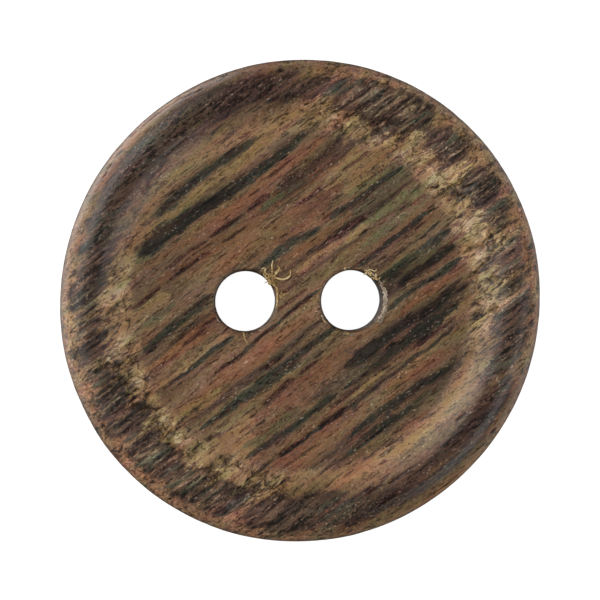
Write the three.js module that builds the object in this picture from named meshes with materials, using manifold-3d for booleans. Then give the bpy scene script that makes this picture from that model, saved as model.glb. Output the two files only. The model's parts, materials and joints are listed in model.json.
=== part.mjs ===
// Two-hole sew-on button, turned in one piece from streaky brown hardwood.
//
// A thick round rim stands up round a shallow dished floor, and two drilled holes go straight
// through the floor for the sewing thread. The back is flat and its edge is rounded over.
//
// Units are millimetres. +Z points out of the front face. The origin is in the middle of the
// flat back, and the two holes lie along X.

import * as THREE from 'three';
import { mergeVertices } from 'three/addons/utils/BufferGeometryUtils.js';
import Module from 'manifold-3d';

// The turned body
const DIAMETER = 20; // mean of its long and short diameters, a 32 ligne button
const THICKNESS = 3.2; // flat back to the crest of the rim
const FLOOR_HEIGHT = 2.25; // flat back to the dished floor
const FLOOR_RADIUS = 6.9; // where the floor turns up into the rim
const CREST_RADIUS = 8.75; // highest circle of the rim
const WIDEST_HEIGHT = 1.4; // height at which the button is widest
const BACK_EDGE_WIDTH = 1.0; // how far in the rounding of the back edge reaches

// Wood shrinks least along its fibres, so the turned circle dries slightly oval, with its long
// diameter close to the grain (the grain runs at 36.5 degrees from +X, and wanders)
const OVAL_ANGLE = THREE.MathUtils.degToRad(52); // of the long diameter from +X
const OVALITY = 0.0088; // half the difference between the long and short diameters, over their mean

// The thread holes
const HOLE_DIAMETER = 2.5;
const HOLE_SPACING = 4.4; // centre to centre
const HOLE_PAIR_OFFSET = -0.1; // along X: the pair was drilled a little off the middle
const HOLE_MOUTH = 0.15; // radius worn round both mouths of each hole

// Facets
const BODY_SEGMENTS = 72; // round the body
const HOLE_SEGMENTS = 32; // round each hole
const BODY_DIVISIONS = 5; // along the inner slope of the rim, and half of those along each rounding
const MOUTH_DIVISIONS = 2; // half of those along the rounding of a hole's mouth
const CUTTER_OVERSHOOT = 1; // how far a hole's cutter stands out past both faces

const wasm = await Module();
wasm.setup();

/** The outline of half the body, from the middle of the back round to the middle of the floor. */
function bodyOutline() {
  const radius = DIAMETER / 2;
  const slope = CREST_RADIUS - FLOOR_RADIUS;
  const outline = new THREE.Path();
  outline.moveTo(0, 0);
  outline.lineTo(radius - BACK_EDGE_WIDTH, 0);
  outline.absellipse(
    radius - BACK_EDGE_WIDTH, WIDEST_HEIGHT, BACK_EDGE_WIDTH, WIDEST_HEIGHT, -Math.PI / 2, 0,
  );
  outline.absellipse(
    CREST_RADIUS, WIDEST_HEIGHT, radius - CREST_RADIUS, THICKNESS - WIDEST_HEIGHT, 0, Math.PI / 2,
  );
  outline.bezierCurveTo(
    CREST_RADIUS - slope / 3, THICKNESS,
    FLOOR_RADIUS + slope / 3, FLOOR_HEIGHT,
    FLOOR_RADIUS, FLOOR_HEIGHT,
  );
  outline.lineTo(0, FLOOR_HEIGHT);
  return outline.getPoints(BODY_DIVISIONS);
}

/** The outline of half a hole's cutter: a straight bore that flares out at both faces. */
function cutterOutline() {
  const bore = HOLE_DIAMETER / 2;
  const flared = bore + HOLE_MOUTH;
  const outline = new THREE.Path();
  outline.moveTo(0, -CUTTER_OVERSHOOT);
  outline.lineTo(flared, -CUTTER_OVERSHOOT);
  outline.absarc(flared, HOLE_MOUTH, HOLE_MOUTH, -Math.PI / 2, Math.PI, true);
  outline.absarc(flared, FLOOR_HEIGHT - HOLE_MOUTH, HOLE_MOUTH, Math.PI, Math.PI / 2, true);
  outline.lineTo(flared, FLOOR_HEIGHT + CUTTER_OVERSHOOT);
  outline.lineTo(0, FLOOR_HEIGHT + CUTTER_OVERSHOOT);
  return outline.getPoints(MOUTH_DIVISIONS);
}

/** Turns an outline round +Z into a closed solid that can be cut. */
function turned(outline, segments) {
  const lathe = new THREE.LatheGeometry(outline, segments).rotateX(Math.PI / 2);
  lathe.deleteAttribute('normal');
  lathe.deleteAttribute('uv');
  const merged = mergeVertices(lathe);
  const corners = merged.index.array;
  const triVerts = [];
  for (let i = 0; i < corners.length; i += 3) {
    const [a, b, c] = corners.slice(i, i + 3);
    // The quads that touch the axis each lose one triangle when their corners merge there
    if (a !== b && b !== c && c !== a) triVerts.push(a, b, c);
  }
  return new wasm.Manifold(
    new wasm.Mesh({
      numProp: 3,
      vertProperties: new Float32Array(merged.attributes.position.array),
      triVerts: new Uint32Array(triVerts),
    }),
  );
}

/** A solid's surface as a three.js geometry. */
function geometryOf(solid) {
  const mesh = solid.getMesh();
  const geometry = new THREE.BufferGeometry();
  geometry.setAttribute('position', new THREE.BufferAttribute(mesh.vertProperties, 3));
  geometry.setIndex(new THREE.BufferAttribute(mesh.triVerts, 1));
  return geometry;
}

/** The body's circle drawn out along its long diameter and drawn in across it. */
function driedOval(geometry) {
  return geometry
    .rotateZ(-OVAL_ANGLE)
    .scale(1 + OVALITY, 1 - OVALITY, 1)
    .rotateZ(OVAL_ANGLE);
}

function buttonDisc() {
  const holeAt = (x) => turned(cutterOutline(), HOLE_SEGMENTS).translate(x, 0, 0);
  const drilled = turned(bodyOutline(), BODY_SEGMENTS)
    .subtract(holeAt(HOLE_PAIR_OFFSET - HOLE_SPACING / 2))
    .subtract(holeAt(HOLE_PAIR_OFFSET + HOLE_SPACING / 2));
  const geometry = driedOval(geometryOf(drilled));
  geometry.computeVertexNormals();
  const wood = new THREE.MeshStandardMaterial({ color: 0x6b5340, roughness: 0.62, metalness: 0 });
  const mesh = new THREE.Mesh(geometry, wood);
  mesh.name = 'button_disc';
  return mesh;
}

const button = new THREE.Group();
button.add(buttonDisc());

export default button;
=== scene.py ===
import itertools
import json
import math

import bpy
import numpy as np
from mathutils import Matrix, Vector
from mathutils.geometry import delaunay_2d_cdt


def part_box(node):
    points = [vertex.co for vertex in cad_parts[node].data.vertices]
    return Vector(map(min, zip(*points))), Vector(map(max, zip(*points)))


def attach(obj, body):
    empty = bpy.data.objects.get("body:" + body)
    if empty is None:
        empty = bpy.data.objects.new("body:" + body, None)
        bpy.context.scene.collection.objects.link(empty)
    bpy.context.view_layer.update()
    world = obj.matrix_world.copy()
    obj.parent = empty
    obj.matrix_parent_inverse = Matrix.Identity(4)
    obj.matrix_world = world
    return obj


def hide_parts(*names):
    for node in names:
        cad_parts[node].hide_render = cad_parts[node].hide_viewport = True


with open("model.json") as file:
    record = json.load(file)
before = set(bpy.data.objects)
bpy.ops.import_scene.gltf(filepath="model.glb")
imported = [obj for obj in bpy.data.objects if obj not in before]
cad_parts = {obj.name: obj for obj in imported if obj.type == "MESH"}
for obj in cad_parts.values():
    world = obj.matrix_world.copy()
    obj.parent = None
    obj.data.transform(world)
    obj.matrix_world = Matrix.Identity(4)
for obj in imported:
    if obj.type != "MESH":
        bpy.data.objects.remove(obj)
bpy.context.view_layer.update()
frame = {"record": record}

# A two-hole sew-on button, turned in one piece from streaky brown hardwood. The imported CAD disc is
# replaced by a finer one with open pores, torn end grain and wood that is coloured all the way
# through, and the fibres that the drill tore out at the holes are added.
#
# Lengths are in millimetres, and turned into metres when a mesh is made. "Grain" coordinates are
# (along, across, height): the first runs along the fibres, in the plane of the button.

MM = 0.001
DISC = "button_disc"

# ---------------------------------------------------------------- shape, as the CAD has it

GRAIN_ANGLE = math.radians(36.5)
OVAL_ANGLE = math.radians(52)
OVALITY = 0.0088

disc_low, disc_high = (np.array(corner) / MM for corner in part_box(DISC))
RADIUS = (disc_high - disc_low)[:2].mean() / 2
THICKNESS = disc_high[2]
FLOOR_HEIGHT = next(
    mount["pos_m"][2] for mount in frame["record"]["mounts"] if mount["name"] == "thread_bridge"
) / MM
FLOOR_RADIUS = 0.69 * RADIUS
CREST_RADIUS = 0.875 * RADIUS
WIDEST_HEIGHT = 0.4375 * THICKNESS
BACK_EDGE_WIDTH = 0.1 * RADIUS
HOLE_RADIUS = 0.125 * RADIUS
HOLE_SPACING = 0.44 * RADIUS
HOLE_PAIR_OFFSET = -0.01 * RADIUS
HOLE_MOUTH = 0.015 * RADIUS
HOLE_CENTRES = [(HOLE_PAIR_OFFSET + side * HOLE_SPACING / 2, 0.0) for side in (-1, 1)]

# ---------------------------------------------------------------- mesh spacing

FRONT_SPACING = 0.08  # between the points of the front and the sides
BACK_SPACING = 0.17  # between those of the flat back
BODY_SEGMENTS = 720
HOLE_SEGMENTS = 112
CURVE_STEPS = 60  # points along each curve of the outline, before they are spread evenly
MOUTH_STEPS = 12  # and along the rounding of a hole's mouth
JITTER = 0.12  # share of the spacing by which a filling point moves off its grid
CLEARANCE = 0.6  # spacings kept between the filling points and the rings round them
SAME_POINT = 1e-7  # points closer than this count as one
FILL_SEED = 7

# ---------------------------------------------------------------- repeatable noise


def lattice(cell, seed):
    """A fixed number from 0 to 1 for each whole-number cell."""
    a, b, c = (cell[..., i].astype(np.int64) for i in range(3))
    mixed = (a * 73856093) ^ (b * 19349663) ^ (c * 83492791) ^ (seed * 40503177)
    mixed = ((mixed & 0xFFFFFFFF) ^ ((mixed & 0xFFFFFFFF) >> 15)) * 2246822519 & 0xFFFFFFFF
    mixed = (mixed ^ (mixed >> 13)) * 3266489917 & 0xFFFFFFFF
    return ((mixed ^ (mixed >> 16)) & 0xFFFFFF) / 0xFFFFFF


def noise(points, scale, seed):
    """Smooth noise from -1 to 1, with scale features to a millimetre along each grain axis."""
    at = points * np.asarray(scale, float)
    cell = np.floor(at)
    part = at - cell
    part = part * part * (3 - 2 * part)
    total = np.zeros(len(points))
    for corner in itertools.product((0, 1), repeat=3):
        weight = np.prod(np.where(corner, part, 1 - part), axis=1)
        total += weight * lattice(cell + corner, seed)
    return 2 * total - 1


def layered_noise(points, scale, seed, layers=3):
    """Noise with finer and weaker copies of itself added."""
    total = sum(
        noise(points, np.asarray(scale, float) * 2**i, seed + i) / 2**i for i in range(layers)
    )
    return total / (2 - 2 ** (1 - layers))


def smooth_step(value, low, high):
    """0 up to low, 1 from high on, and a smooth rise between them."""
    part = np.clip((value - low) / (high - low), 0, 1)
    return part * part * (3 - 2 * part)


# ---------------------------------------------------------------- the turned and drilled shell


def turned_by(points, angle):
    """Points in axes that are turned by an angle round +Z."""
    x, y, z = points.T
    along, across = math.cos(angle), math.sin(angle)
    return np.column_stack([x * along + y * across, y * along - x * across, z])


def grain_of(points):
    """Points in the grain's own directions: along it, across it and up."""
    return turned_by(points, GRAIN_ANGLE)


def dried(points):
    """Points of the round disc, drawn out along its long diameter and in across it."""
    drawn = turned_by(points, OVAL_ANGLE) * (1 + OVALITY, 1 - OVALITY, 1)
    return turned_by(drawn, -OVAL_ANGLE)


def rim_outline():
    """Radius and height from the floor's edge over the rim to the edge of the flat back."""
    part = np.linspace(0, 1, CURVE_STEPS)
    slope = np.column_stack(
        [
            FLOOR_RADIUS + (CREST_RADIUS - FLOOR_RADIUS) * part,
            FLOOR_HEIGHT + (THICKNESS - FLOOR_HEIGHT) * part * part * (3 - 2 * part),
        ]
    )
    turn = np.radians(np.linspace(90, 0, CURVE_STEPS))
    shoulder = np.column_stack(
        [
            CREST_RADIUS + (RADIUS - CREST_RADIUS) * np.cos(turn),
            WIDEST_HEIGHT + (THICKNESS - WIDEST_HEIGHT) * np.sin(turn),
        ]
    )
    turn = np.radians(np.linspace(0, -90, CURVE_STEPS))
    back_edge = np.column_stack(
        [
            RADIUS - BACK_EDGE_WIDTH + BACK_EDGE_WIDTH * np.cos(turn),
            WIDEST_HEIGHT + WIDEST_HEIGHT * np.sin(turn),
        ]
    )
    front = resampled(np.vstack([slope, shoulder[1:]]), FRONT_SPACING)
    back = resampled(back_edge, (FRONT_SPACING + BACK_SPACING) / 2)
    return np.vstack([front, back[1:]])


def bore_outline():
    """Radius and height up a thread hole from the back, with both mouths worn round."""
    turn = np.radians(np.linspace(90, 180, MOUTH_STEPS))
    flared = HOLE_RADIUS + HOLE_MOUTH
    mouth = np.column_stack([flared + HOLE_MOUTH * np.cos(turn), HOLE_MOUTH * np.sin(turn)])
    back = mouth * (1, -1) + (0, HOLE_MOUTH)
    front = mouth[::-1] + (0, FLOOR_HEIGHT - HOLE_MOUTH)
    return resampled(np.vstack([back, front]), FRONT_SPACING)


def resampled(outline, spacing):
    """The same outline with its points spread evenly, about spacing apart."""
    steps = np.linalg.norm(np.diff(outline, axis=0), axis=1)
    along = np.concatenate([[0], np.cumsum(steps)])
    at = np.linspace(0, along[-1], round(along[-1] / spacing) + 1)
    return np.column_stack([np.interp(at, along, column) for column in outline.T])


class Shell:
    """The points and faces of one closed surface, put together from rings."""

    def __init__(self):
        self.points = []
        self.faces = []

    def ring(self, centre, radius, height, segments):
        """Adds a level circle of points, and returns their numbers."""
        turn = np.linspace(0, 2 * math.pi, segments, endpoint=False)
        first = len(self.points)
        self.points.extend(
            zip(
                centre[0] + radius * np.cos(turn),
                centre[1] + radius * np.sin(turn),
                np.full(segments, height),
            )
        )
        return np.arange(first, first + segments)

    def tube(self, centre, outline, segments):
        """Turns an outline round centre, and returns its first and last rings."""
        rings = [self.ring(centre, radius, height, segments) for radius, height in outline]
        for near, far in itertools.pairwise(rings):
            self.faces.extend(zip(near, far, np.roll(far, -1), np.roll(near, -1)))
        return rings[0], rings[-1]

    def fill(self, outer, holes, spacing, facing_up):
        """Fills the level area inside the outer ring and outside the holes' rings."""
        corners = np.array(self.points)
        height = corners[outer[0]][2]
        reach = np.hypot(*corners[outer[0]][:2])

        # A triangular grid of filling points, each moved a little, and none near a ring
        random = np.random.default_rng(FILL_SEED)
        rows = np.arange(-reach, reach, spacing * math.sqrt(3) / 2)
        grid = np.array(
            [
                (x + (odd % 2) * spacing / 2, y)
                for odd, y in enumerate(rows)
                for x in np.arange(-reach, reach, spacing)
            ]
        )
        grid += random.uniform(-JITTER, JITTER, grid.shape) * spacing
        inside = np.hypot(*grid.T) < reach - CLEARANCE * spacing
        for hole in holes:
            middle = corners[hole].mean(0)[:2]
            edge = np.hypot(*(corners[hole[0]][:2] - middle))
            inside &= np.hypot(*(grid - middle).T) > edge + CLEARANCE * spacing
        grid = grid[inside]

        # Every ring is kept as a closed loop of edges
        loops = [outer, *holes]
        border = np.concatenate(loops)
        loop_of = np.repeat(range(len(loops)), [len(loop) for loop in loops])
        starts = np.searchsorted(loop_of, loop_of)
        following = starts + (np.arange(len(border)) - starts + 1) % np.bincount(loop_of)[loop_of]

        numbers = np.concatenate([border, len(self.points) + np.arange(len(grid))])
        flat = np.vstack([corners[border][:, :2], grid])
        self.points.extend((x, y, height) for x, y in grid)
        filled = delaunay_2d_cdt(
            [Vector(point) for point in flat], list(enumerate(following)), [], 0, SAME_POINT
        )
        source = [origin[0] for origin in filled[3]]
        for face in filled[2]:
            face = [source[i] for i in face]
            loops_met = {loop_of[i] if i < len(border) else 0 for i in face}
            if len(loops_met) == 1 and 0 not in loops_met:
                continue  # all three corners are on one hole's ring, so this is inside the hole
            face = [numbers[i] for i in face]
            self.faces.append(tuple(face if facing_up else face[::-1]))


def turned_shell():
    """The smooth round disc with its two holes, before it dried oval."""
    shell = Shell()
    front_edge, back_edge = shell.tube((0, 0), rim_outline(), BODY_SEGMENTS)
    mouths = [shell.tube(centre, bore_outline(), HOLE_SEGMENTS) for centre in HOLE_CENTRES]
    shell.fill(front_edge, [front for back, front in mouths], FRONT_SPACING, True)
    shell.fill(back_edge, [back for back, front in mouths], BACK_SPACING, False)
    return shell


# ---------------------------------------------------------------- the figure of the wood

# Dark streaks in the floor, chosen to follow the real button: (start along the grain, end along it,
# place across it, width, strength). Black and olive ones are "ink", brown-black wide ones "smoke".
INK_STREAKS = [
    (-4.5, 0.4, 5.62, 0.8, 0.6),
    (-2.2, 5.0, 5.36, 0.34, 0.9),
    (-2.9, 3.0, 6.58, 0.55, 0.6),
    (-6.6, -2.8, 2.22, 0.62, 0.85),
    (-1.0, 2.5, 1.98, 0.36, 1.0),
    (2.9, 6.9, 1.99, 0.28, 0.95),
    (-6.9, -3.0, 0.58, 0.2, 0.85),
    (-6.7, 0.8, -1.83, 0.44, 1.0),
    (2.9, 6.9, -1.38, 0.42, 0.85),
    (3.6, 6.7, -2.05, 0.5, 0.6),
    (2.6, 6.7, -2.56, 0.34, 0.9),
    (-0.4, 6.0, -3.36, 0.5, 0.85),
    (-0.9, 5.6, -3.98, 0.5, 0.9),
    (-5.9, -1.0, -3.92, 0.3, 0.65),
    (-1.8, 4.2, -5.75, 0.42, 0.75),
    (-4.4, 1.8, -6.32, 0.34, 0.7),
    (-4.8, 4.6, -4.68, 0.2, 0.9),
    (2.7, 6.8, -0.36, 0.24, 0.85),
    (3.0, 6.7, -0.92, 0.1, 0.8),
    (-5.0, 1.0, -0.18, 0.16, 0.75),
]
SMOKE_STREAKS = [
    (-6.9, 0.8, -1.34, 0.44, 1.0),
    (0.0, 6.9, 1.24, 0.34, 1.0),
    (1.8, 5.6, 4.36, 0.66, 0.75),
    (1.6, 6.2, 3.85, 0.3, 0.7),
    (-7.0, -2.9, 1.72, 0.22, 0.7),
    (2.6, 6.6, -1.9, 1.5, 0.55),
    (-2.5, 6.2, -3.6, 1.25, 0.6),
    (-3.4, 4.8, -5.9, 0.9, 0.5),
    (-4.4, 5.2, 5.5, 0.8, 0.5),
    (-0.8, 6.6, 0.62, 0.16, 0.6),
]
# Broad streaks of red-brown, golden and olive wood between the dark ones
RED_STREAKS = [
    (-6.0, 5.0, 4.85, 0.6, 0.9),
    (-4.6, 4.6, 3.9, 0.9, 0.9),
    (-2.6, 4.4, 2.95, 1.1, 1.0),
    (-7.0, -3.0, 1.45, 0.7, 0.9),
    (-6.8, 0.6, -0.75, 0.8, 0.9),
    (-4.2, 0.8, -2.85, 0.6, 0.8),
    (-5.4, -0.2, -5.1, 1.1, 1.0),
    (0.4, 3.6, -5.1, 0.6, 0.9),
    (2.6, 6.6, -3.0, 0.4, 0.8),
    (-5.8, 3.0, -7.0, 0.5, 0.9),
    (0.2, 6.8, 1.6, 0.4, 0.7),
]
GOLDEN_STREAKS = [
    (4.4, 7.2, 3.1, 1.6, 0.6),
    (-7.2, -4.8, -3.3, 1.6, 0.6),
    (-4.6, 4.6, 6.12, 0.55, 1.0),
    (-6.8, -4.2, 3.3, 0.7, 0.9),
    (-6.9, -3.2, 0.8, 0.3, 0.8),
    (-6.9, -4.4, -2.75, 0.9, 0.9),
    (-0.7, 1.1, -4.35, 0.4, 1.0),
    (3.4, 6.4, 3.2, 0.5, 0.8),
    (4.0, 7.0, 2.5, 0.5, 0.8),
    (0.4, 6.8, 0.95, 0.3, 0.6),
    (-7.0, -4.8, -0.9, 0.5, 0.6),
    (4.2, 6.0, -4.3, 0.5, 0.8),
]
OLIVE_STREAKS = [
    (3.8, 7.2, 1.6, 2.2, 0.6),
    (-3.4, 2.0, 6.6, 0.5, 0.9),
    (-4.8, 0.8, 5.6, 1.0, 0.9),
    (-5.9, -4.2, 2.95, 0.5, 0.7),
    (0.8, 3.4, 4.05, 0.4, 0.7),
    (2.9, 6.6, -1.9, 1.0, 0.8),
    (-5.6, -2.6, -3.5, 0.5, 0.7),
    (0.8, 5.6, -6.15, 0.6, 0.8),
    (3.2, 6.9, 0.2, 0.5, 0.7),
]
# Open vessels cut lengthwise, filled with red-brown gum: the same, with their width in millimetres
VESSELS = [
    (-3.95, -2.1, -2.46, 0.26, 1.0),
    (-1.85, -0.9, -2.45, 0.12, 0.9),
    (0.45, 1.62, 4.38, 0.24, 1.0),
    (2.02, 3.6, 3.27, 0.24, 1.0),
    (4.5, 6.0, 3.26, 0.2, 0.7),
    (-3.8, -1.6, 4.3, 0.22, 0.8),
    (-1.5, 0.25, 4.36, 0.3, 0.8),
    (-6.1, -4.3, 3.74, 0.2, 0.9),
    (-3.9, -1.8, 3.78, 0.22, 0.9),
    (-1.3, 0.1, 3.8, 0.14, 0.7),
    (1.95, 4.4, 1.26, 0.26, 0.9),
    (-6.8, -5.3, 1.32, 0.2, 0.7),
    (-5.2, -3.2, 1.4, 0.24, 0.7),
    (-4.7, -3.2, -0.2, 0.16, 0.9),
    (-2.6, -1.3, -0.22, 0.14, 0.9),
    (-1.1, 0.5, -0.24, 0.2, 0.9),
    (-2.4, -1.1, -4.66, 0.24, 0.9),
    (-4.6, -2.8, -4.62, 0.2, 0.7),
    (-6.6, -5.9, -2.4, 0.2, 0.7),
    (-2.9, -1.9, -1.4, 0.2, 0.8),
]

# Layers of the wood lie nearly level, so the rim's slopes cut through them as rings
DARK_LAYER = THICKNESS - 0.28  # height above which the wood is dark
LAYER_SOFTNESS = 0.3  # height over which it turns dark
RIM_DARKNESS = 0.9  # how dark the layer gets, on the streaks' scale
PALE_LAYER = THICKNESS - 0.82  # middle of the pale layer under it
PALE_LIFT = 0.12  # how much higher the pale layer lies where the rim is cut across the fibres
LAYER_TILT = 0.005  # how much the layers fall for each millimetre across the grain
SIDE_SWELL = 0.13  # how much lower the dark layer reaches outside the crest, beside the fibres

STREAK_END = 0.93  # share of a streak's half length at which it starts to fade out
STREAK_WEAR = 0.28  # how ragged the fibres make the streaks
FINE_VESSEL_BOX = np.array((1.7, 0.42, 0.42))  # each holds one fine vessel or none
FINE_VESSEL_SHARE = 0.55  # share of the boxes that hold one
FINE_VESSEL_WIDTH = 0.15


def streaks(grain, listed):
    """How deep inside the nearest listed streak each point lies: 1 in its middle, under 0 outside."""
    sway = (
        0.16 * noise(grain, (0.3, 0.5, 0.5), 31)
        + 0.09 * noise(grain, (0.9, 1.6, 1.6), 32)
        + 0.05 * noise(grain, (2.4, 4.0, 4.0), 33)
    )
    swell = 1 + 0.5 * noise(grain, (0.7, 1.2, 1.2), 34)
    deepest = np.full(len(grain), -1.0)
    for start, end, across, width, strength in listed:
        part = (grain[:, 0] - (start + end) / 2) / ((end - start) / 2)
        half = width / 2 * swell * np.clip(1 - part**4, 0, 1) + 0.02
        beside = np.abs(grain[:, 1] + sway - across) / half
        ends = 4 * np.clip(np.abs(part) - STREAK_END, 0, None)
        deepest = np.maximum(deepest, strength * (1 - beside - ends))
    return np.clip(deepest + STREAK_WEAR * layered_noise(grain, (0.8, 4.0, 4.0), 35), -1, 1)


def open_vessels(grain, size, share, width, seed):
    """Grooves left by vessels that the surface cuts open: 1 in their middle, 0 outside.

    Each box of the given size along the grain axes holds one short vessel, or none.
    """
    at = grain / size
    home = np.floor(at)
    deepest = np.zeros(len(grain))
    for step in itertools.product((-1, 0, 1), repeat=3):
        cell = home + step
        middle = (cell + np.column_stack([lattice(cell, seed + i) for i in range(3)])) * size
        half = size[0] * (0.3 + 0.5 * lattice(cell, seed + 3))
        radius = width / 2 * (0.5 + 0.8 * lattice(cell, seed + 4))
        part = np.clip(1 - ((grain[:, 0] - middle[:, 0]) / half) ** 2, 0, 1)
        beside = np.hypot(*(grain - middle)[:, 1:].T) / (radius * np.sqrt(part) + 1e-6)
        here = lattice(cell, seed + 5) < share
        deepest = np.maximum(deepest, here * np.clip(1 - beside**2, 0, 1))
    return deepest


def facing(points, faces):
    """The outward direction at every point of a mesh."""
    normals = np.zeros_like(points)
    for size in (3, 4):
        corners = np.array([face for face in faces if len(face) == size])
        first, second, third = (points[corners[:, i]] for i in (0, 1, -1))
        across = np.cross(second - first, third - first)
        for i in range(size):
            np.add.at(normals, corners[:, i], across)
    return normals / np.linalg.norm(normals, axis=1, keepdims=True)


def figure(grain):
    """Where the wood is dark, pale, red, cut across its fibres or open, at every point, with the
    holes' mouths given as painted shade.
    """
    height = grain[:, 2]
    reach = np.hypot(*grain[:, :2].T)

    # Parts of the button, each a share from 0 to 1: the back and the lower edge, the rim and the
    # floor, then where the surface cuts across the fibres, and what is outside the rim's crest
    below = 1 - smooth_step(height, FLOOR_HEIGHT - 0.6, FLOOR_HEIGHT - 0.1)
    rim_edge = FLOOR_RADIUS + 0.1 + 0.25 * noise(grain, (0.5, 2.0, 1), 16)
    above_floor = (1 - below) * smooth_step(reach - rim_edge, -0.25, 0.35)
    on_floor = (1 - above_floor) * (1 - below)
    across_fibres = smooth_step(np.abs(grain[:, 0]) / (reach + 1e-6), 0.35, 0.9)
    coarse = above_floor * across_fibres
    outside = smooth_step(reach, CREST_RADIUS, CREST_RADIUS + 0.4)
    warm = np.maximum(outside, 1 - coarse)
    foot = above_floor * (1 - smooth_step(reach, FLOOR_RADIUS + 0.4, FLOOR_RADIUS + 0.75))

    # Height within the wood's own layers, which wander
    wavy = height + LAYER_TILT * grain[:, 1] * (1 - outside)
    wavy += SIDE_SWELL * outside * (1 - across_fibres)
    wavy += (0.35 + 0.65 * across_fibres) * (
        0.22 * noise(grain, (0.12, 0.9, 0.6), 11)
        + 0.30 * noise(grain, (0.3, 2.4, 1.0), 12)
        + 0.30 * noise(grain, (0.4, 5.5, 1.6), 13)
    )

    # Dark wood: the floor's listed streaks, the rim's layer, and loose streaks on the back
    loose = 1.5 * noise(grain, (0.14, 1.3, 1.3), 14) + 0.9 * noise(grain, (0.3, 3.2, 3.2), 15) - 0.7
    dark_layer = np.clip((wavy - DARK_LAYER) / LAYER_SOFTNESS, -1, 1)
    ink = np.clip(
        on_floor * streaks(grain, INK_STREAKS)
        + above_floor * np.minimum(dark_layer, RIM_DARKNESS * (1 - 0.35 * across_fibres))
        + below * loose,
        -1, 1,
    )
    smoke = np.clip(on_floor * streaks(grain, SMOKE_STREAKS), 0, 1)

    # Pale wood of the rim, which fades towards the +Y side
    pale_middle = PALE_LAYER + PALE_LIFT * across_fibres
    pale = np.clip(1 - np.abs(wavy - pale_middle) / (0.42 + 0.3 * across_fibres), 0, 1)
    faded = 0.85 + 0.4 * noise(grain, (0.25, 0.7, 0.4), 17)
    faded = faded * (1 - 0.6 * smooth_step(grain[:, 1], 5.2, 7.4) * (1 - outside))
    pale = above_floor * pale * faded * (1 - outside * (0.5 - 0.2 * across_fibres))

    # Pits and cracks that the cutter tore in the pale end grain, and the crumbs left round them. The
    # pits are sunk into the surface, and the colour is also darkened in them as painted shadow.
    torn = np.clip(layered_noise(grain, (1.3, 3.0, 1.5), 23) * 2.2 - 0.3, 0, 1)
    crack = np.clip(1 - 7 * np.abs(layered_noise(grain, (1.5, 2.6, 1.5), 24)), 0, 1)
    crack = crack * smooth_step(noise(grain, (1.0, 1.8, 1.0), 27), -0.1, 0.3)
    torn = np.maximum(torn, crack)
    torn = torn * across_fibres * above_floor * (1 - outside) * np.minimum(2 * pale, 1)
    crumbs = layered_noise(grain, (2.0, 3.4, 1.6), 28) * coarse * (1 - outside)

    # Painted shade at the mouths of the thread holes: a dark ring in the colour where the edge rounds
    # off into the bore
    mouth = np.zeros(len(grain))
    for x, y in HOLE_CENTRES:
        centre = turned_by(np.array([[x, y, 0.0]]), GRAIN_ANGLE)[0, :2]
        from_hole = np.hypot(*(grain[:, :2] - centre).T)
        mouth = np.maximum(mouth, 1 - smooth_step(from_hole, HOLE_RADIUS + 0.03, HOLE_RADIUS + 0.14))

    placed = on_floor * np.clip(streaks(grain, VESSELS), 0, 1)
    fine = open_vessels(grain, FINE_VESSEL_BOX, FINE_VESSEL_SHARE, FINE_VESSEL_WIDTH, 50)
    vessel = np.maximum(placed, fine * (1 - 0.4 * on_floor))
    elsewhere = -0.35 * (1 - on_floor)
    return {
        "ink": ink,
        "smoke": smoke,
        "pale": pale,
        "warm": warm,
        "coarse": coarse,
        "foot": foot,
        "torn": torn,
        "crumbs": crumbs,
        "mouth": mouth,
        "rim": above_floor,
        "vessel": vessel,
        "red": on_floor * streaks(grain, RED_STREAKS) + elsewhere + 0.25 * outside,
        "golden": on_floor * streaks(grain, GOLDEN_STREAKS) + elsewhere,
        "olive": on_floor * streaks(grain, OLIVE_STREAKS) + elsewhere,
    }


# ---------------------------------------------------------------- relief of the cut surface

VESSEL_DEPTH = 0.05
FIBRE_DEPTH = 0.012
TORN_DEPTH = 0.14
WAVE_DEPTH = 0.02
BACK_FADE = 0.2  # height by which the waves and fibres have grown in from the flat back


def relief(grain, wood):
    """How far each point stands out of the smooth turned surface."""
    fibres = layered_noise(grain, (0.5, 4.5, 4.5), 21)
    waves = noise(grain, (0.15, 0.5, 0.5), 22)
    off_back = smooth_step(grain[:, 2], 0, BACK_FADE)
    return (
        off_back * (WAVE_DEPTH * waves + FIBRE_DEPTH * fibres)
        - VESSEL_DEPTH * wood["vessel"]
        - TORN_DEPTH * wood["torn"]
    )


# ---------------------------------------------------------------- the material

FIBRE_HEIGHT = 0.35  # heights are squeezed by this, so that slopes are drawn with long fibres too


def tone(red, green, blue):
    """A colour given as it looks on a screen, from 0 to 255, as Blender's linear colour."""
    shares = (value / 255 for value in (red, green, blue))
    linear = [s / 12.92 if s <= 0.04045 else ((s + 0.055) / 1.055) ** 2.4 for s in shares]
    return (*linear, 1.0)


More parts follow.
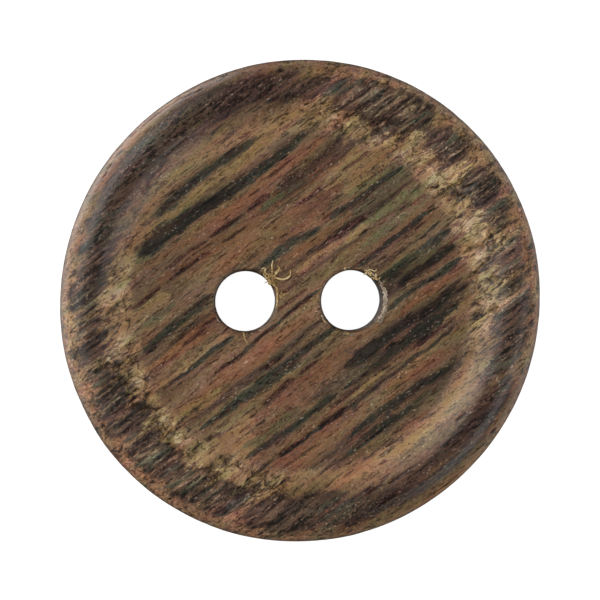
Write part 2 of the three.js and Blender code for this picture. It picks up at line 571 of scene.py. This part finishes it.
class Graph:
    """Short ways to add the nodes of one material."""

    def __init__(self, material):
        material.use_nodes = True
        self.tree = material.node_tree
        self.tree.nodes.clear()

    def add(self, kind, inputs=(), **settings):
        """Adds a node. An input is a value, or another node's output to link to it."""
        node = self.tree.nodes.new(kind)
        for name, value in settings.items():
            setattr(node, name, value)
        for key, value in dict(inputs).items():
            if isinstance(value, bpy.types.NodeSocket):
                self.tree.links.new(value, node.inputs[key])
            else:
                node.inputs[key].default_value = value
        return node

    def attribute(self, name, output="Fac"):
        """A value that the mesh holds at every point."""
        return self.add("ShaderNodeAttribute", attribute_name=name).outputs[output]

    def math(self, operation, *values):
        return self.add("ShaderNodeMath", enumerate(values), operation=operation).outputs[0]

    def scaled(self, vector, scale, shift):
        """A position scaled along each axis, and moved so that each noise is its own."""
        return self.add(
            "ShaderNodeMapping", {0: vector, 1: (shift, 2 * shift, 3 * shift), 3: scale}
        ).outputs[0]

    def noise(self, vector, scale, detail, rough, shift, output=0):
        """Noise from 0 to 1, with scale features to a millimetre along each grain axis."""
        return self.add(
            "ShaderNodeTexNoise",
            {
                "Vector": self.scaled(vector, scale, shift),
                "Scale": 1.0, "Detail": detail, "Roughness": rough,
            },
        ).outputs[output]

    def warped(self, vector, scale, amount, shift):
        """A position moved about by smooth noise, by up to half of amount each way."""
        moved = self.noise(vector, scale, 1.0, 0.5, shift, "Color")
        return self.add(
            "ShaderNodeVectorMath", {0: moved, 1: amount, 2: vector}, operation="MULTIPLY_ADD"
        ).outputs[0]

    def scattered(self, vector, scale, shift):
        """Two random values that belong to the nearest of many scattered points.

        There are scale points to a millimetre along each grain axis.
        """
        node = self.add(
            "ShaderNodeTexVoronoi", {"Vector": self.scaled(vector, scale, shift), "Scale": 1.0}
        )
        parts = self.add("ShaderNodeSeparateColor", {0: node.outputs["Color"]})
        return parts.outputs[0], parts.outputs[1]

    def step(self, value, low, high, bottom=0.0, top=1.0):
        """A smooth change from bottom to top as a value goes from low to high."""
        return self.add(
            "ShaderNodeMapRange", {0: value, 1: low, 2: high, 3: bottom, 4: top},
            interpolation_type="SMOOTHSTEP",
        ).outputs[0]

    def swing(self, value, amount):
        """A noise from 0 to 1, moved and scaled to lie round zero."""
        return self.math("MULTIPLY_ADD", value, 2 * amount, -amount)

    def stretched(self, colour, amount, base):
        """A colour with each channel multiplied by amount and raised by base."""
        return self.add(
            "ShaderNodeVectorMath", {0: colour, 1: (amount,) * 3, 2: (base,) * 3},
            operation="MULTIPLY_ADD",
        ).outputs[0]

    def total(self, *values):
        total = values[0]
        for value in values[1:]:
            total = self.math("ADD", total, value)
        return total

    def times(self, value, amount):
        return self.math("MULTIPLY", value, amount)

    def mix(self, share, first, second, blend="MIX"):
        """The first colour with a share of the second laid over it."""
        return self.add(
            "ShaderNodeMix", {0: share, 6: first, 7: second}, data_type="RGBA", blend_type=blend
        ).outputs[2]

    def tones(self, value, listed):
        """A colour looked up by a value from 0 to 1, in evenly spaced steps from dark to light."""
        node = self.add("ShaderNodeValToRGB", {0: value})
        stops = node.color_ramp.elements
        while len(stops) < len(listed):
            stops.new(0.5)
        for i, colour in enumerate(listed):
            stops[i].position = i / (len(listed) - 1)
            stops[i].color = tone(*colour)
        return node.outputs[0]


# Colours of each kind of wood, from its darkest fibres to its lightest
BROWN = [(34, 24, 16), (68, 49, 33), (104, 78, 53), (136, 107, 77), (172, 144, 112)]
RED_BROWN = [(34, 18, 11), (74, 44, 27), (114, 74, 47), (141, 98, 65), (172, 130, 95)]
GOLDEN = [(42, 29, 14), (86, 63, 36), (130, 99, 61), (158, 126, 83), (192, 162, 120)]
OLIVE = [(28, 26, 14), (60, 55, 34), (94, 86, 56), (124, 114, 79), (160, 148, 112)]
INK = [(20, 19, 14), (42, 40, 31), (72, 68, 53), (106, 98, 78), (154, 144, 120)]
DARK_BROWN = [(26, 17, 12), (54, 38, 29), (86, 64, 49), (120, 94, 72), (160, 134, 108)]
TAN = [(48, 34, 19), (92, 70, 42), (134, 106, 69), (163, 135, 93), (199, 175, 134)]
ORANGE = [(44, 27, 16), (89, 61, 38), (130, 95, 62), (157, 120, 83), (188, 155, 117)]
GUM = [(26, 13, 9), (54, 28, 20), (88, 52, 39), (124, 84, 66), (176, 140, 120)]
GLINT = (168, 156, 140)

# How far along those colours plain wood lies, and how much each feature moves it. Torn darkens the
# torn pits and cracks as painted shadow, mouth is painted shade round the holes' mouths, and glints
# are painted glints.
PLAIN_WOOD = 0.56
SHADES = {
    "golden": 0.06, "olive": -0.06, "red": -0.03, "smoke": -0.16, "pale": 0.09, "dark_rim": 0.03,
    "gum": -0.2, "lips": -0.2, "pores": -0.3, "glints": 0.4, "torn": -0.5, "mouth": -0.3,
    "crumbs": 0.25,
}
GRAIN_BUMP = 0.03


def wood_material():
    """Brown hardwood, coloured through its depth, with open pores, a soft wax polish, painted glints,
    and painted shadow in its torn pits, its curls and at the holes' mouths.
    """
    material = bpy.data.materials.new("wood")
    g = Graph(material)
    coarse = g.attribute("coarse")
    straight = g.attribute("grain", "Vector")

    # The noises that the rest is made from, most of them drawn out along the fibres
    grain = g.warped(straight, (0.8, 3.0, 3.0), (0.4, 0.12, 0.12), 9.0)
    wide = g.noise(grain, (0.14, 0.9, 0.9), 2, 0.5, 1.0)
    middle = g.noise(grain, (0.4, 3.2, 3.2), 2, 0.5, 2.0)
    threads = g.noise(grain, (2.2, 9.5, 9.5), 3, 0.65, 3.0)
    grit = g.noise(grain, (9.0, 14.0, 14.0), 2, 0.6, 5.0)
    glints = g.times(
        g.step(g.noise(grain, (6.0, 12.0, 12.0), 1, 0.6, 10.0), 0.6, 0.76),
        g.step(g.noise(grain, (0.5, 2.4, 2.4), 0, 0.5, 12.0), 0.4, 0.6, 0.35, 1.0),
    )
    pores = g.step(g.noise(grain, (1.1, 7.0, 7.0), 0, 0.5, 7.0), 0.7, 0.78)
    strokes, stroke_hue = g.scattered(grain, (0.7, 5.5, 5.5), 3.0)
    broken = g.times(g.swing(strokes, 0.3), coarse)
    ragged = g.total(g.swing(middle, 0.9), g.swing(threads, 1.2), g.swing(grit, 0.5), broken)
    lines = g.noise(grain, (0.4, 7.5, 7.5), 0, 0.5, 14.0)
    lines = g.total(g.step(lines, 0.56, 0.68, 0, 0.36), g.step(lines, 0.46, 0.34, 0, -0.3))
    tint = g.noise(grain, (0.4, 1.9, 1.9), 3, 0.6, 17.0, "Color")
    knotted = g.warped(straight, (1.6, 2.4, 2.4), (0.6, 0.5, 0.5), 21.0)
    curls = g.noise(knotted, (1.3, 2.2, 2.2), 0, 0.5, 22.0)

    # Kinds of wood, each a share from 0 to 1 with ragged edges
    ink = g.step(g.total(g.attribute("ink"), ragged), -0.05, 0.42)
    smoke = g.step(g.total(g.attribute("smoke"), ragged), 0.1, 0.6)
    pale = g.step(g.total(g.attribute("pale"), g.times(ragged, 0.8)), 0.0, 0.6)
    opened = g.total(g.attribute("vessel"), g.times(ragged, 0.5), g.swing(grit, 0.5))
    gum = g.times(g.step(opened, 0.2, 0.45), g.step(coarse, 1, 0, 0.4, 1.0))
    lips = g.times(g.step(opened, 0.05, 0.25), g.step(opened, 0.5, 0.3))
    red = g.total(g.attribute("red"), g.swing(middle, 1.2), g.times(ragged, 0.5))
    red = g.step(red, -0.1, 0.3, 0.0, 0.85)
    golden = g.total(g.attribute("golden"), g.swing(stroke_hue, 0.2), g.times(ragged, 0.6))
    golden = g.step(golden, -0.1, 0.25, 0.0, 0.8)
    olive = g.total(g.attribute("olive"), g.swing(wide, 1.0), ragged)
    olive = g.step(olive, -0.05, 0.3)

    # How light the wood is at each place
    dark_rim = g.times(g.times(coarse, ink), g.step(pale, 1, 0))
    pale_end = g.times(g.times(pale, coarse), g.step(ink, 1, 0))
    # Curls in the pale end grain: a dark line of painted shadow under each torn flake, beside a
    # lighter band
    curled = g.total(
        g.times(g.step(curls, 0.415, 0.45), g.step(curls, 0.485, 0.45, 0, -0.42)),
        g.times(g.step(curls, 0.52, 0.56), g.step(curls, 0.6, 0.56, 0, 0.18)), 0.05,
    )
    rough_part = g.step(g.total(ink, smoke, coarse, gum, g.swing(wide, 1.2)), -0.1, 0.8, 0.7, 1.1)
    rough_part = g.total(rough_part, g.times(pale, g.step(coarse, 0, 1, -0.35, -0.6)))
    texture = g.total(
        g.times(g.swing(middle, 0.42), g.step(coarse, 0, 1, 1.0, 1.3)), g.times(broken, 0.7),
        g.times(g.total(g.swing(threads, 0.85), g.swing(grit, 0.65)), rough_part),
    )
    stronger = g.step(g.times(ink, g.attribute("rim")), 0, 1, 1.0, 1.2)
    glints = g.times(glints, rough_part)
    # torn and mouth below darken the colour as painted shadow in the torn pits and cracks, and as
    # painted shade round the holes' mouths
    features = {
        "golden": golden, "olive": olive, "red": red, "smoke": smoke, "pale": pale,
        "dark_rim": dark_rim, "gum": gum, "lips": lips, "pores": pores, "glints": glints,
        "torn": g.attribute("torn"), "mouth": g.attribute("mouth"),
        "crumbs": g.times(g.attribute("crumbs"), pale),
    }
    light = g.total(
        g.swing(wide, 0.3), g.times(texture, stronger), PLAIN_WOOD,
        g.times(ink, g.step(coarse, 0, 1, -0.23, -0.17)),
        g.times(lines, dark_rim), g.times(curled, pale_end),
        *(g.times(features[name], shade) for name, shade in SHADES.items()),
    )

    # The colour of each kind of wood at that lightness, laid one over another
    colour = g.mix(red, g.tones(light, BROWN), g.tones(light, RED_BROWN))
    colour = g.mix(golden, colour, g.tones(light, GOLDEN))
    colour = g.mix(olive, colour, g.tones(light, OLIVE))
    tan = g.mix(g.attribute("warm"), g.tones(light, TAN), g.tones(light, ORANGE))
    tan = g.mix(g.times(red, 0.7), tan, g.tones(light, RED_BROWN))
    colour = g.mix(pale, colour, tan)
    colour = g.mix(smoke, colour, g.tones(light, DARK_BROWN))
    dark = g.total(
        g.swing(wide, 0.9), g.swing(middle, 0.7), g.swing(stroke_hue, 0.2),
        g.step(g.attribute("rim"), 0, 1, 0.66, 0.26),
    )
    dark = g.mix(g.step(dark, 0.4, 0.65), g.tones(light, DARK_BROWN), g.tones(light, INK))
    colour = g.mix(ink, colour, dark)
    colour = g.mix(gum, colour, g.tones(light, GUM))
    colour = g.mix(1.0, colour, g.stretched(tint, 0.84, 0.59), "MULTIPLY")
    colour = g.mix(g.times(glints, 0.25), colour, tone(*GLINT))

    rough = g.total(
        g.step(coarse, 0, 1, 0.33, 0.47), g.swing(threads, 0.2), g.times(g.attribute("foot"), 0.4)
    )
    height = g.total(g.times(threads, 0.7), g.times(grit, 0.5))
    bump = g.add(
        "ShaderNodeBump", {"Strength": 1.0, "Distance": GRAIN_BUMP * MM, "Height": height}
    ).outputs[0]
    shader = g.add(
        "ShaderNodeBsdfPrincipled",
        {"Base Color": colour, "Roughness": rough, "Normal": bump},
    )
    g.add("ShaderNodeOutputMaterial", {"Surface": shader.outputs[0]})
    return material


# ---------------------------------------------------------------- pieces


def new_object(name, points, faces, grain, shares, material):
    """An object that holds its place in the grain and some named shares at every point."""
    mesh = bpy.data.meshes.new(name)
    faces = [tuple(int(i) for i in face) for face in faces]
    mesh.from_pydata((points * MM).tolist(), [], faces)
    mesh.shade_smooth()
    mesh.attributes.new("grain", "FLOAT_VECTOR", "POINT").data.foreach_set("vector", grain.ravel())
    for share, values in shares.items():
        mesh.attributes.new(share, "FLOAT", "POINT").data.foreach_set("value", values)
    mesh.materials.append(material)
    made = bpy.data.objects.new(name, mesh)
    bpy.context.scene.collection.objects.link(made)
    return made


def add_disc():
    """The button itself, in place of the CAD's disc."""
    shell = turned_shell()
    points = dried(np.array(shell.points))
    grain = grain_of(points)
    wood = figure(grain)
    cut = points + facing(points, shell.faces) * relief(grain, wood)[:, None]
    fibre_space = grain * (1, 1, FIBRE_HEIGHT)
    disc = new_object("turned_disc", cut, shell.faces, fibre_space, wood, wood_material())
    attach(disc, "root")
    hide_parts(DISC)


# ---------------------------------------------------------------- fibres torn out by the drill

# All are placed from the middle of a thread hole (0 is the left one, 1 the right one), in
# millimetres. Hairs: (hole, width, [(x, y, rise above the floor), ...])
HAIRS = [
    (0, 0.075, [(1.08, 0.90, -0.05), (1.12, 1.19, 0.10), (1.10, 1.45, 0.22), (1.15, 1.69, 0.25)]),
    (0, 0.090, [(1.10, 0.85, -0.05), (1.25, 0.93, 0.10), (1.58, 0.88, 0.16), (1.84, 1.02, 0.18),
                (1.87, 1.29, 0.14)]),
    (0, 0.090, [(1.16, 0.95, 0.00), (1.30, 1.15, 0.14), (1.42, 1.34, 0.18), (1.31, 1.44, 0.16)]),
    (0, 0.100, [(1.10, 0.95, 0.00), (1.20, 0.72, 0.05), (1.32, 0.42, 0.03), (1.32, -0.08, 0.00),
                (1.25, -0.38, -0.05)]),
    (0, 0.090, [(1.38, 0.12, -0.03), (1.52, 0.18, 0.05), (1.62, 0.27, 0.09), (1.80, 0.30, 0.06)]),
    (0, 0.070, [(-0.06, -1.32, -0.05), (-0.05, -1.42, 0.03), (0.00, -1.60, 0.07),
                (0.14, -1.84, 0.05)]),
    (1, 0.060, [(0.62, 1.22, -0.05), (0.80, 1.28, 0.08), (0.96, 1.22, 0.12), (1.08, 1.34, 0.10)]),
    (1, 0.055, [(-1.02, -0.92, -0.05), (-1.12, -0.86, 0.04), (-1.20, -0.72, 0.04)]),
]
# Ragged lips along a hole's edge: (hole, start and end in degrees, distance, width)
LIPS = [
    (1, -40, 38, 1.40, 0.17),
    (1, 46, 68, 1.38, 0.09),
    (1, 92, 106, 1.36, 0.06),
    (1, 205, 226, 1.36, 0.05),
    (1, 256, 276, 1.40, 0.06),
    (0, 104, 122, 1.35, 0.06),
    (0, 206, 222, 1.37, 0.06),
    (0, 292, 318, 1.36, 0.05),
    (0, 336, 352, 1.36, 0.05),
]
# Tufts of short curled fibres: (hole, x, y, half its width, how many)
TUFTS = [
    (0, 1.04, 0.98, 0.22, 26),
    (0, 1.18, 0.72, 0.14, 12),
    (0, 1.56, 0.20, 0.10, 8),
    (1, 0.70, 1.16, 0.13, 12),
    (1, 0.98, 0.94, 0.11, 10),
    (1, -0.30, 1.32, 0.06, 3),
    (1, -0.16, -1.40, 0.08, 4),
]
FIBRE_SEED = 11
FIBRE_SIDES = 6
HAIR_STEPS = 6  # points along a hair for each of its corners
LIP_STRANDS = 2
LIP_STEP = 2.5  # about how many degrees lie between the points of a long lip
TUFT_STEPS = 14  # points along each fibre of a tuft
TUFT_WIDTHS = (0.04, 0.085)  # the finest and the thickest fibre in a tuft
TUFT_RISES = (0.05, 0.03, -0.01)  # rise over each third of such a fibre
LIP_SHADE = -0.1
FIBRE_TAN = [(62, 46, 26), (124, 98, 60), (166, 138, 90), (204, 184, 142)]
FIBRE_GREY = [(52, 46, 38), (108, 94, 80), (146, 130, 112), (184, 170, 150)]
FIBRE_BUMP = 0.01


def curve_through(corners, count):
    """Points along a smooth curve through the given corners."""
    corners = np.asarray(corners, float)
    padded = np.vstack([2 * corners[0] - corners[1], corners, 2 * corners[-1] - corners[-2]])
    at = np.linspace(0, len(corners) - 1 - 1e-9, count)
    piece = at.astype(int)
    part = (at - piece)[:, None]
    before, here, there, after = (padded[piece + i] for i in range(4))
    return here + 0.5 * part * (
        there - before
        + part * (2 * before - 5 * here + 4 * there - after)
        + part**2 * (3 * (here - there) + after - before)
    )


def add_fibre(shell, path, width, random):
    """A lumpy tapered fibre along a path, closed at both ends."""
    ahead = np.gradient(path, axis=0)
    ahead /= np.linalg.norm(ahead, axis=1, keepdims=True)
    beside = np.cross(ahead, (0.3, 0.2, 1.0))
    beside /= np.linalg.norm(beside, axis=1, keepdims=True)
    above = np.cross(beside, ahead)
    part = np.linspace(0, 1, len(path))
    radius = width / 2 * (1 - part**3) ** 0.5 * np.clip(8 * part + 0.4, 0, 1)
    radius = np.maximum(radius * random.uniform(0.75, 1.2, len(path)), 0.15 * width)
    rings = []
    for i, centre in enumerate(path):
        rings.append(np.arange(FIBRE_SIDES) + len(shell.points))
        for turn in np.linspace(0, 2 * math.pi, FIBRE_SIDES, endpoint=False):
            out = math.cos(turn) * beside[i] + math.sin(turn) * above[i]
            shell.points.append(tuple(centre + radius[i] * out))
    for near, far in itertools.pairwise(rings):
        shell.faces.extend(zip(near, np.roll(near, -1), np.roll(far, -1), far))
    shell.faces.append(tuple(rings[0][::-1]))
    shell.faces.append(tuple(rings[-1]))


def add_lip(shell, base, start, end, distance, width, random):
    """Ragged strands side by side along a part of a hole's edge."""
    steps = max(6, round(abs(end - start) / LIP_STEP))
    turn = np.radians(np.linspace(start, end, steps))
    for strand in range(LIP_STRANDS):
        reach = distance + random.uniform(-0.3, 0.3, steps) * width + 0.4 * strand * width
        rise = random.uniform(-0.3, 0.15, steps) * width
        path = np.column_stack([reach * np.cos(turn), reach * np.sin(turn), rise])
        add_fibre(shell, base + path, width * random.uniform(0.5, 0.8), random)


def add_tuft_fibre(shell, base, x, y, spread, random):
    """One short curled fibre that stands out of the floor near the middle of its tuft."""
    corners = [(x, y, -0.03) + random.normal(0, 0.45 * spread, 3) * (1, 1, 0)]
    lean, curl = random.uniform(-math.pi, math.pi), random.uniform(-2.2, 2.2)
    length = random.uniform(0.6, 1.5) * spread
    for step, rise in enumerate(TUFT_RISES):
        heading = lean + curl * step / 2
        ahead = length / 3 * np.array((math.cos(heading), math.sin(heading), 0.0))
        corners.append(corners[-1] + ahead + (0, 0, rise))
    width = random.uniform(*TUFT_WIDTHS)
    add_fibre(shell, base + curve_through(corners, TUFT_STEPS), width, random)


def add_torn_fibres():
    """The curls and the ragged lips that the drill left at the mouths of the holes."""
    random = np.random.default_rng(FIBRE_SEED)
    shell = Shell()
    bases = [np.array((*centre, FLOOR_HEIGHT)) for centre in HOLE_CENTRES]
    for hole, width, corners in HAIRS:
        path = curve_through(corners, HAIR_STEPS * len(corners))
        add_fibre(shell, bases[hole] + path, width, random)
    lips_start = len(shell.points)
    for hole, *place_and_size in LIPS:
        add_lip(shell, bases[hole], *place_and_size, random)
    lips_end = len(shell.points)
    for hole, x, y, spread, count in TUFTS:
        for _ in range(count):
            add_tuft_fibre(shell, bases[hole], x, y, spread, random)
    points = np.array(shell.points)
    lip = np.zeros(len(points))
    lip[lips_start:lips_end] = 1
    shares = {"lip": lip}
    fibres = new_object("torn_fibres", points, shell.faces, points, shares, fibre_material())
    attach(fibres, "root")


def fibre_material():
    """Raw torn wood fibre: dry, pale tan to grey, and not polished."""
    material = bpy.data.materials.new("torn_fibre")
    g = Graph(material)
    place = g.attribute("grain", "Vector")
    patches = g.noise(place, (2.2, 2.2, 2.2), 2, 0.6, 3.0)
    grit = g.noise(place, (18.0, 18.0, 18.0), 2, 0.6, 4.0)
    lips = g.attribute("lip")
    light = g.total(g.swing(patches, 0.9), g.swing(grit, 0.5), g.times(lips, LIP_SHADE), 0.7)
    colour = g.mix(lips, g.tones(light, FIBRE_TAN), g.tones(light, FIBRE_GREY))
    bump = g.add(
        "ShaderNodeBump", {"Strength": 1.0, "Distance": FIBRE_BUMP * MM, "Height": grit}
    ).outputs[0]
    shader = g.add(
        "ShaderNodeBsdfPrincipled",
        {"Base Color": colour, "Roughness": 0.75, "Normal": bump, "Specular IOR Level": 0.2},
    )
    g.add("ShaderNodeOutputMaterial", {"Surface": shader.outputs[0]})
    return material


# ---------------------------------------------------------------- camera, lights and floor

CAMERA_DISTANCE = 200.0
CAMERA_LEFT = math.radians(1.5)  # how far it leans to -X from straight above
VIEW_WIDTH = 24.94  # how much it sees from side to side at the button
VIEW_MIDDLE = (-0.01, 0.025)  # the place on the button that it looks at
SENSOR_WIDTH = 36.0
NEAR_CLIP = 0.01  # in metres
LIGHT_DISTANCE = 0.3  # in metres, as the sizes of the lights are
FLOOR_HALF_WIDTH = 0.6  # in metres
FLOOR_GAP = 0.02  # the floor lies this far under the back, so the two don't touch
FLOOR_GLOW = 0.97
SURROUND_LIGHT = 0.5
SURROUND_MIRRORED = 0.08
# Lights: (name, angle round from +X, elevation, width, height, radiance, whether the polish
# mirrors it), in degrees and metres
LIGHTS = [
    ("key", 162, 22, 0.42, 0.17, 2.7, True),
    ("low_key", 155, 2, 0.5, 0.25, 0.4, True),
    ("fill", -22, 22, 0.42, 0.1, 2.6, True),
    ("overhead", 150, 70, 0.3, 0.3, 1.3, False),
    ("table_glow", 155, -45, 0.45, 0.16, 1.8, True),
    ("far_glow", 15, -45, 0.45, 0.16, 0.6, True),
]


def aim(thing, place, target):
    """Puts a thing at a place, facing a target."""
    thing.location = place
    thing.rotation_euler = (Vector(target) - Vector(place)).to_track_quat("-Z", "Y").to_euler()


def add_camera():
    """A camera almost straight above, so far away that it sees next to no perspective."""
    camera = bpy.data.objects.new("camera", bpy.data.cameras.new("camera"))
    bpy.context.scene.collection.objects.link(camera)
    camera.data.sensor_width = SENSOR_WIDTH
    camera.data.lens = SENSOR_WIDTH * CAMERA_DISTANCE / VIEW_WIDTH
    camera.data.clip_start = NEAR_CLIP
    target = Vector((*VIEW_MIDDLE, WIDEST_HEIGHT)) * MM
    back = Vector((-math.sin(CAMERA_LEFT), 0, math.cos(CAMERA_LEFT)))
    camera.location = target + back * CAMERA_DISTANCE * MM
    camera.rotation_euler = (0, -CAMERA_LEFT, 0)
    bpy.context.scene.camera = camera


def add_light(name, azimuth, elevation, width, height, radiance, mirrored):
    """A wide soft light that faces the button."""
    light = bpy.data.objects.new(name, bpy.data.lights.new(name, "AREA"))
    bpy.context.scene.collection.objects.link(light)
    light.data.shape = "RECTANGLE"
    light.data.size = width
    light.data.size_y = height
    light.data.energy = radiance * math.pi * width * height
    light.visible_glossy = mirrored
    turn, rise = math.radians(azimuth), math.radians(elevation)
    place = LIGHT_DISTANCE * Vector(
        (math.cos(rise) * math.cos(turn), math.cos(rise) * math.sin(turn), math.sin(rise))
    )
    aim(light, place, (0, 0, 0))


def add_world(strength, mirrored):
    """A white surround: full white to the camera, weaker as light, and weaker still in a gloss."""
    world = bpy.data.worlds.new("studio")
    bpy.context.scene.world = world
    world.use_nodes = True
    g = Graph(world)
    ray = g.add("ShaderNodeLightPath").outputs
    power = g.step(ray["Is Glossy Ray"], 0, 1, strength, mirrored)
    power = g.math("MAXIMUM", power, ray["Is Camera Ray"])
    glow = g.add("ShaderNodeBackground", {"Color": (1, 1, 1, 1), "Strength": power})
    g.add("ShaderNodeOutputWorld", {"Surface": glow.outputs[0]})


def add_floor():
    """A glowing white table. It gives the button no light of its own: the lights below do that."""
    size = FLOOR_HALF_WIDTH
    mesh = bpy.data.meshes.new("floor")
    corners = [(-size, -size), (size, -size), (size, size), (-size, size)]
    mesh.from_pydata([(x, y, -FLOOR_GAP * MM) for x, y in corners], [], [(0, 1, 2, 3)])
    floor = bpy.data.objects.new("floor", mesh)
    bpy.context.scene.collection.objects.link(floor)
    material = bpy.data.materials.new("light_table")
    g = Graph(material)
    shader = g.add(
        "ShaderNodeBsdfPrincipled",
        {
            "Base Color": (0.2, 0.2, 0.2, 1), "Roughness": 0.9,
            "Emission Color": (1, 1, 1, 1), "Emission Strength": FLOOR_GLOW,
        },
    )
    g.add("ShaderNodeOutputMaterial", {"Surface": shader.outputs[0]})
    mesh.materials.append(material)
    floor.visible_diffuse = False
    floor.visible_glossy = False
    floor.visible_shadow = False


add_camera()
add_disc()
add_torn_fibres()
add_floor()
add_world(SURROUND_LIGHT, SURROUND_MIRRORED)
for light in LIGHTS:
    add_light(*light)
bpy.context.scene.view_settings.view_transform = "Standard"
